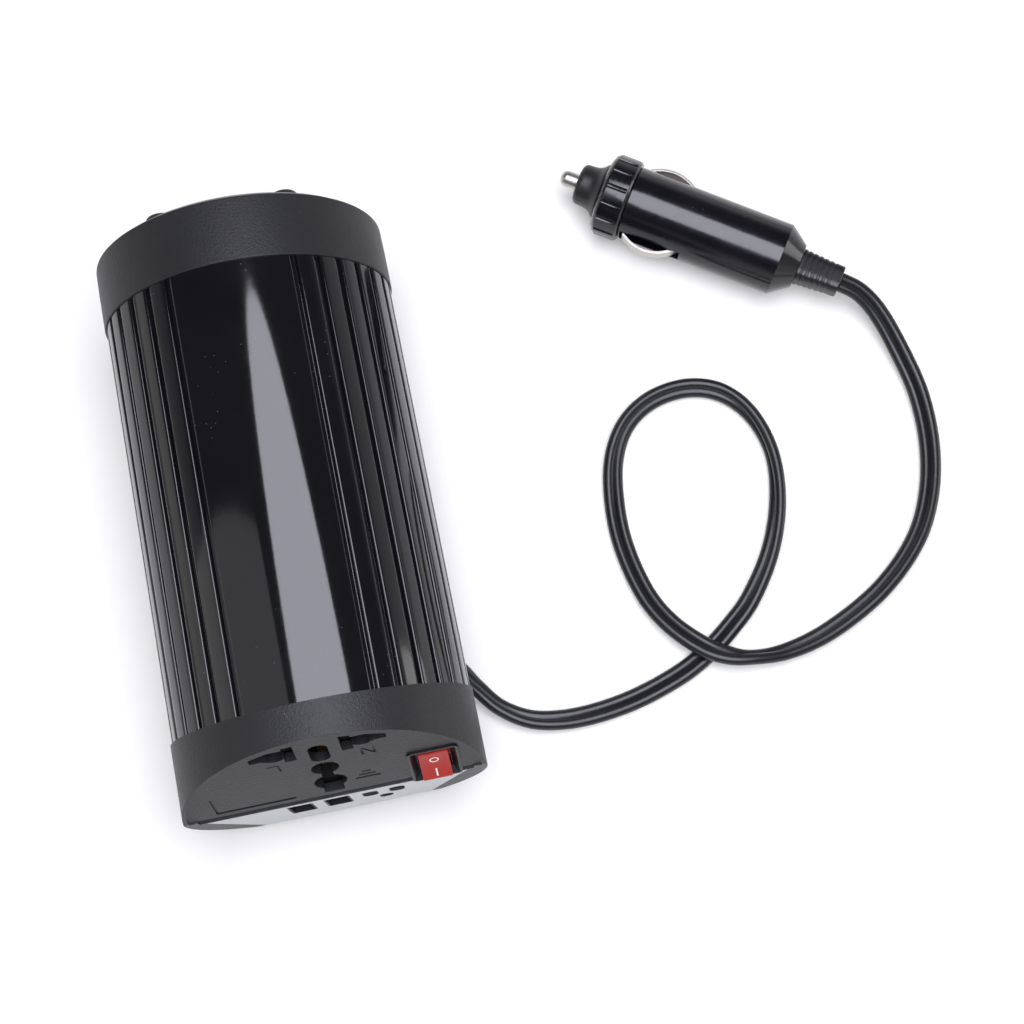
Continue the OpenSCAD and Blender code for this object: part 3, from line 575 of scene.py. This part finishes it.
boot_ring = rounded([(BOOT_W, BOOT_H), (-BOOT_W, BOOT_H), (-BOOT_W, -BOOT_H), (BOOT_W, -BOOT_H)],
                    BOOT_CORNER, 6)
boot = draw("boot_sleeve", [(IN_PLUG @ Vector((x, y, BOOT_FROM))) * MM for x, y in boot_ring])
edit(boot)
bpy.ops.mesh.select_all(action="SELECT")
bpy.ops.mesh.edge_face_add()
backward = IN_PLUG.to_3x3() @ Vector((0, 0, -1))
along = BOOT_FROM
for step, scale in BOOT_STEPS:
    along -= step
    bpy.ops.mesh.extrude_region_move(TRANSFORM_OT_translate={"value": backward * step * MM})
    bpy.ops.transform.resize(value=(scale, scale, scale),
                             center_override=(IN_PLUG @ Vector((0, 0, along))) * MM)
done()
clean(boot)
soften(boot, 0.12, 2, 30)
made["boot_sleeve"] = place(boot, "can", "cord_pvc", "plug_boot")

# %% [markdown]
# ## Surface patterns
# Several finishes share the same small effects: the grain of a mould, dust and
# handling marks, and fine lines along an extrusion. Each effect is a node group
# with its own settings, so every material can use it at its own strength.

# %% Pattern groups


def new_group(name, inputs, outputs):
    """An empty node group with these sockets; returns it with its input and output nodes."""
    group = bpy.data.node_groups.new(name, "ShaderNodeTree")
    for label, kind, value in inputs:
        socket = group.interface.new_socket(label, in_out="INPUT", socket_type=kind)
        if value is not None:
            socket.default_value = value
    for label, kind in outputs:
        group.interface.new_socket(label, in_out="OUTPUT", socket_type=kind)
    start = group.nodes.new("NodeGroupInput")
    end = group.nodes.new("NodeGroupOutput")
    return group, start, end


def node_in(tree, kind, **values):
    """A node with these properties; a key that names an input sets that input."""
    made_node = tree.nodes.new(kind)
    for key, value in values.items():
        if key in made_node.inputs:
            made_node.inputs[key].default_value = value
        else:
            setattr(made_node, key, value)
    return made_node


def maths(tree, operation, a, b=0.0):
    """A math node; a and b are sockets or numbers. Returns its result."""
    step = node_in(tree, "ShaderNodeMath", operation=operation)
    for i, value in enumerate((a, b)):
        if hasattr(value, "is_linked"):
            tree.links.new(value, step.inputs[i])
        else:
            step.inputs[i].default_value = value
    return step.outputs[0]


def moulded_grain():
    """Fine pebble of a moulded surface: height, and a mask of its tops."""
    g, start, end = new_group("moulded_grain", [
        ("Vector", "NodeSocketVector", None), ("Size", "NodeSocketFloat", 0.0004)],
        [("Height", "NodeSocketFloat"), ("Mask", "NodeSocketFloat")])
    scale = maths(g, "DIVIDE", 1.0, start.outputs["Size"])
    cells = node_in(g, "ShaderNodeTexVoronoi", feature="SMOOTH_F1", Smoothness=0.6, Randomness=1.0)
    fine = node_in(g, "ShaderNodeTexNoise", Detail=3.0, Roughness=0.6)
    g.links.new(start.outputs["Vector"], cells.inputs["Vector"])
    g.links.new(start.outputs["Vector"], fine.inputs["Vector"])
    g.links.new(scale, cells.inputs["Scale"])
    g.links.new(maths(g, "MULTIPLY", scale, 1.7), fine.inputs["Scale"])
    height = maths(g, "ADD", maths(g, "MULTIPLY", cells.outputs["Distance"], 0.7),
                   maths(g, "MULTIPLY", fine.outputs["Fac"], 0.6))
    g.links.new(height, end.inputs["Height"])
    g.links.new(maths(g, "SMOOTH_MAX", maths(g, "SUBTRACT", height, 0.45), 0.0), end.inputs["Mask"])
    return g


def handling_marks():
    """Soft clouds, thin dust and a few specks, for colour and roughness."""
    g, start, end = new_group("handling_marks", [
        ("Vector", "NodeSocketVector", None), ("Scale", "NodeSocketFloat", 60.0)],
        [("Cloud", "NodeSocketFloat"), ("Specks", "NodeSocketFloat"), ("Scratches", "NodeSocketFloat")])
    cloud = node_in(g, "ShaderNodeTexNoise", Detail=4.0, Roughness=0.55)
    g.links.new(start.outputs["Vector"], cloud.inputs["Vector"])
    g.links.new(start.outputs["Scale"], cloud.inputs["Scale"])
    specks = node_in(g, "ShaderNodeTexVoronoi", feature="F1")
    g.links.new(start.outputs["Vector"], specks.inputs["Vector"])
    g.links.new(maths(g, "MULTIPLY", start.outputs["Scale"], 9.0), specks.inputs["Scale"])
    dot = maths(g, "LESS_THAN", specks.outputs["Distance"], 0.07)
    rare = maths(g, "GREATER_THAN", cloud.outputs["Fac"], 0.56)
    stretch = node_in(g, "ShaderNodeMapping", vector_type="POINT", Rotation=(0.3, 0.5, 0.7),
                      Scale=(1.0, 14.0, 1.0))
    g.links.new(start.outputs["Vector"], stretch.inputs["Vector"])
    lines = node_in(g, "ShaderNodeTexNoise", Detail=2.0, Roughness=0.5)
    g.links.new(stretch.outputs["Vector"], lines.inputs["Vector"])
    g.links.new(maths(g, "MULTIPLY", start.outputs["Scale"], 5.0), lines.inputs["Scale"])
    g.links.new(cloud.outputs["Fac"], end.inputs["Cloud"])
    g.links.new(maths(g, "MULTIPLY", dot, rare), end.inputs["Specks"])
    g.links.new(maths(g, "GREATER_THAN", lines.outputs["Fac"], 0.7), end.inputs["Scratches"])
    return g


def drawn_lines():
    """Fine lines along Y, as an extrusion or a brush leaves them."""
    g, start, end = new_group("drawn_lines", [
        ("Vector", "NodeSocketVector", None), ("Spacing", "NodeSocketFloat", 0.0002)],
        [("Height", "NodeSocketFloat")])
    squeeze = node_in(g, "ShaderNodeMapping", vector_type="POINT", Scale=(1.0, 0.01, 1.0))
    g.links.new(start.outputs["Vector"], squeeze.inputs["Vector"])
    lines = node_in(g, "ShaderNodeTexNoise", Detail=4.0, Roughness=0.7)
    g.links.new(squeeze.outputs["Vector"], lines.inputs["Vector"])
    g.links.new(maths(g, "DIVIDE", 1.0, start.outputs["Spacing"]), lines.inputs["Scale"])
    g.links.new(lines.outputs["Fac"], end.inputs["Height"])
    return g


GRAIN, MARKS, LINES = moulded_grain(), handling_marks(), drawn_lines()
print("pattern groups:", [g.name for g in (GRAIN, MARKS, LINES)])

# %% [markdown]
# ## Finishes
# A finish is a Principled shader with its own numbers, and the patterns vary
# its colour, roughness and height over the surface. One function wires them,
# so that each finish is one line of values: how dark, how rough, how grained.

# %% Making a finish


def mix_colour(tree, fac, a, b):
    """Colour a where fac is 0 and b where it is 1; returns the result."""
    mixed = node_in(tree, "ShaderNodeMix", data_type="RGBA")
    tree.links.new(fac, mixed.inputs[0])
    for i, value in ((6, a), (7, b)):
        if hasattr(value, "is_linked"):
            tree.links.new(value, mixed.inputs[i])
        else:
            mixed.inputs[i].default_value = (*value, 1)
    return mixed.outputs[2]


def make_finish(name, colour, rough, metal=0.0, grain=0.0004, depth=0.00001, cloud=0.25,
                dust=0.0, lines=0.0, coat=0.0, shine=0.5, glass=0.0, spread=0.1):
    """
    A material with these values. grain, depth and lines are in metres. cloud is
    how much the colour drifts, dust adds pale specks, and spread is how much the
    roughness drifts.
    """
    material = bpy.data.materials.new(name)
    material.use_nodes = True
    tree = material.node_tree
    shader = tree.nodes["Principled BSDF"]
    where = node_in(tree, "ShaderNodeTexCoord").outputs["Object"]
    grained = node_in(tree, "ShaderNodeGroup", node_tree=GRAIN, Size=grain)
    marks = node_in(tree, "ShaderNodeGroup", node_tree=MARKS)
    tree.links.new(where, grained.inputs["Vector"])
    tree.links.new(where, marks.inputs["Vector"])

    darker = tuple(c * (1 - cloud) for c in colour)
    lighter = tuple(min(1.0, c * (1 + cloud) + 0.002) for c in colour)
    tone = mix_colour(tree, marks.outputs["Cloud"], darker, lighter)
    pale = tuple(min(1.0, c * 0.6 + 0.25) for c in colour)
    amount = maths(tree, "MULTIPLY", marks.outputs["Specks"], dust)
    tree.links.new(mix_colour(tree, amount, tone, pale), shader.inputs["Base Color"])

    drift = maths(tree, "MULTIPLY", marks.outputs["Cloud"], spread)
    scuffs = maths(tree, "MULTIPLY", marks.outputs["Scratches"], spread * 0.6)
    tops = maths(tree, "MULTIPLY", grained.outputs["Mask"], spread)
    scuffed = maths(tree, "ADD", maths(tree, "ADD", drift, rough - spread / 2), scuffs)
    tree.links.new(maths(tree, "ADD", scuffed, tops), shader.inputs["Roughness"])

    bump = node_in(tree, "ShaderNodeBump", Strength=1.0, Distance=depth)
    height = grained.outputs["Height"]
    if lines:
        drawn = node_in(tree, "ShaderNodeGroup", node_tree=LINES, Spacing=lines)
        tree.links.new(where, drawn.inputs["Vector"])
        height = maths(tree, "ADD", height, drawn.outputs["Height"])
    tree.links.new(height, bump.inputs["Height"])
    tree.links.new(bump.outputs["Normal"], shader.inputs["Normal"])

    constants = {"Metallic": metal, "IOR": 1.5, "Specular IOR Level": shine, "Coat Weight": coat,
                 "Coat Roughness": 0.04, "Transmission Weight": glass}
    for socket, value in constants.items():
        shader.inputs[socket].default_value = value
    return material


FINISHES = {
    "tube": dict(colour=(0.004, 0.004, 0.005), rough=0.06, grain=0.0012, depth=0.000001, cloud=0.2,
                 dust=0.25, lines=0.0006, spread=0.03),
    "cap_black": dict(colour=(0.011, 0.011, 0.012), rough=0.46, grain=0.00046, depth=0.00008, dust=0.3,
                      shine=0.35),
    "end_plate": dict(colour=(0.2, 0.2, 0.21), rough=0.55, grain=0.0005, depth=0.00003),
    "rubber": dict(colour=(0.012, 0.012, 0.012), rough=0.62, grain=0.0003, depth=0.00002, dust=0.4),
    "screw_steel": dict(colour=(0.34, 0.34, 0.36), rough=0.35, metal=1.0, grain=0.0003, depth=0.000008),
    "fan_black": dict(colour=(0.02, 0.02, 0.022), rough=0.5, grain=0.0005, depth=0.00002),
    "core_black": dict(colour=(0.004, 0.004, 0.004), rough=0.6, grain=0.0005, depth=0.00002),
    "contact_brass": dict(colour=(0.3, 0.2, 0.08), rough=0.45, metal=1.0, grain=0.0004, depth=0.000006),
    "label_silver": dict(colour=(0.48, 0.49, 0.50), rough=0.42, metal=0.55, grain=0.00025, depth=0.000008,
                         cloud=0.08, spread=0.08),
    "usb_steel": dict(colour=(0.02, 0.02, 0.022), rough=0.5, metal=1.0, grain=0.0004, depth=0.000006),
    "usb_plastic": dict(colour=(0.005, 0.005, 0.005), rough=0.5, grain=0.0005, depth=0.00001),
    "lens_smoke": dict(colour=(0.005, 0.005, 0.006), rough=0.6, grain=0.0008, depth=0.000003, shine=0.02),
    "led_clear": dict(colour=(0.8, 0.8, 0.75), rough=0.2, grain=0.0008, depth=0.000003),
    "board_green": dict(colour=(0.02, 0.13, 0.06), rough=0.4, grain=0.0009, depth=0.00001, coat=0.4),
    "switch_black": dict(colour=(0.005, 0.005, 0.006), rough=0.36, grain=0.0004, depth=0.00001,
                         shine=0.3),
    "rocker_red": dict(colour=(0.40, 0.014, 0.008), rough=0.4, grain=0.0004, depth=0.000006, cloud=0.12,
                       shine=0.22),
    "mark_white": dict(colour=(0.85, 0.84, 0.8), rough=0.5, grain=0.0003, depth=0.000004, cloud=0.05),
    "tab_steel": dict(colour=(0.6, 0.6, 0.58), rough=0.35, metal=1.0, grain=0.0004, depth=0.000006),
    "ferrite": dict(colour=(0.05, 0.05, 0.055), rough=0.6, grain=0.0003, depth=0.00002),
    "coil_tape": dict(colour=(0.6, 0.42, 0.06), rough=0.4, grain=0.001, depth=0.00002, lines=0.002),
    "capacitor_sleeve": dict(colour=(0.02, 0.04, 0.16), rough=0.28, grain=0.0008, depth=0.000005),
    "copper_winding": dict(colour=(0.6, 0.25, 0.1), rough=0.3, metal=1.0, grain=0.0005, depth=0.00003),
    "heat_aluminium": dict(colour=(0.6, 0.6, 0.61), rough=0.4, metal=1.0, grain=0.0004, depth=0.000006,
                           lines=0.0004),
    "chip_black": dict(colour=(0.015, 0.015, 0.016), rough=0.5, grain=0.0003, depth=0.00001),
    "cord_pvc": dict(colour=(0.007, 0.007, 0.008), rough=0.33, grain=0.0006, depth=0.00001, dust=0.2,
                     cloud=0.35),
    "plug_gloss": dict(colour=(0.004, 0.004, 0.006), rough=0.15, grain=0.0009, depth=0.000006, dust=0.2,
                       spread=0.1),
    "plug_nose": dict(colour=(0.009, 0.009, 0.010), rough=0.4, grain=0.0004, depth=0.000015),
    "nickel": dict(colour=(0.50, 0.48, 0.44), rough=0.36, metal=1.0, grain=0.0006, depth=0.000004),
    "spring_steel": dict(colour=(0.5, 0.5, 0.5), rough=0.3, metal=1.0, grain=0.0004, depth=0.000005),
    "fuse_glass": dict(colour=(0.95, 0.97, 0.97), rough=0.05, grain=0.001, depth=0.000001, glass=1.0,
                       cloud=0.03, spread=0.02),
}
finishes = {name: make_finish(name, **values) for name, values in FINISHES.items()}
print(len(finishes), "finishes")

# %% [markdown]
# ## Putting the finishes on
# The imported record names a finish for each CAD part, so most parts only look
# theirs up. The pieces made here carry the name they were placed with.

# %% Every piece gets its finish


def paint(obj, name):
    """This finish, and no other, on the object."""
    obj.data.materials.clear()
    obj.data.materials.append(finishes[name])


slot_of = {s["node"]: s["material_slot"] for s in frame["record"]["subparts"]}
for node, obj in nodes.items():
    paint(obj, slot_of[node])
place(twin_lead, "can", "cord_pvc", "cord")
for obj in list(made.values()) + [tube_shell, base_shell, twin_lead]:
    paint(obj, obj["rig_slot"])
pick(twin_lead)
bpy.ops.object.shade_smooth_by_angle(angle=math.radians(50))
print("painted", len(nodes), "CAD nodes and", len(made) + 3, "new pieces")

# %% [markdown]
# ## The lead on the table
# The lead and plug lie loose on the table.

# %% [markdown]
# ## The floor
# The object lies on a wide sheet of pale matt paper. The paper gives off a
# little light of its own, which keeps it pale where the cards hardly reach.

# %% Floor
bpy.ops.object.select_all(action="DESELECT")
bpy.ops.mesh.primitive_plane_add(size=6, location=(0, 0, 0))
floor = bpy.context.object
floor.name = "floor"
paper = bpy.data.materials.new("paper")
paper.use_nodes = True
paper_shader = paper.node_tree.nodes["Principled BSDF"]
paper_shader.inputs["Base Color"].default_value = (0.80, 0.79, 0.75, 1)
paper_shader.inputs["Roughness"].default_value = 0.9
paper_shader.inputs["Emission Color"].default_value = (1, 1, 1, 1)
paper_shader.inputs["Emission Strength"].default_value = 0.18
floor.data.materials.append(paper)
print("floor", [round(v, 1) for v in floor.dimensions], "m")

# %% [markdown]
# ## Light
# A gloss black tube shows only what it reflects, so the light is shaped for
# it: a tall soft card over the can makes its long highlight, two dim cards
# pick out its dark side and the plug, and the room is pale at the horizon and
# dark above, which leaves the rest of the tube black.

# %% Cards of soft light


def soft_card(name, place_at, aim, size, power, shape="RECTANGLE", colour=(1, 1, 1)):
    """An area light of size (width, height) in metres, turned toward aim."""
    lamp = bpy.data.lights.new(name, "AREA")
    lamp.shape = shape
    lamp.size, lamp.size_y = size
    lamp.energy = power
    lamp.color = colour
    card = bpy.data.objects.new(name, lamp)
    card.location = place_at
    card.rotation_euler = (Vector(aim) - Vector(place_at)).to_track_quat("-Z", "Y").to_euler()
    scene.collection.objects.link(card)
    return card


soft_card("key_card", place_at=(0.09, -0.05, 0.6), aim=(0.09, -0.05, 0), size=(0.42, 0.63), power=5.2,
          shape="ELLIPSE", colour=(0.88, 0.89, 1.0))
soft_card("dim_card", place_at=(-0.5, -0.03, 0.5), aim=(0, 0, 0.05), size=(0.4, 0.8), power=0.8)
soft_card("side_card", place_at=(0.64, -0.05, 0.12), aim=(0.16, 0.03, 0.01), size=(0.22, 0.22),
          power=0.45)

# %% The room: pale at the horizon, dark above
HORIZON = (1, 1, 1, 1)
OVERHEAD = (0.06, 0.06, 0.065, 1)
DARK_FROM = 0.5  # sine of the height above the horizon

world = bpy.data.worlds.new("room")
scene.world = world
world.use_nodes = True
tree = world.node_tree
sky = tree.nodes["Background"]
direction = node_in(tree, "ShaderNodeTexCoord").outputs["Generated"]
split = node_in(tree, "ShaderNodeSeparateXYZ")
tree.links.new(direction, split.inputs[0])
ramp = node_in(tree, "ShaderNodeValToRGB")
horizon, overhead = ramp.color_ramp.elements
horizon.position, horizon.color = 0.0, HORIZON
overhead.position, overhead.color = DARK_FROM, OVERHEAD
tree.links.new(split.outputs["Z"], ramp.inputs["Fac"])
tree.links.new(ramp.outputs["Color"], sky.inputs["Color"])
sky.inputs["Strength"].default_value = 1.0
scene.view_settings.view_transform = "Standard"
print("room from", HORIZON[:3], "at the horizon to", OVERHEAD[:3], "above")
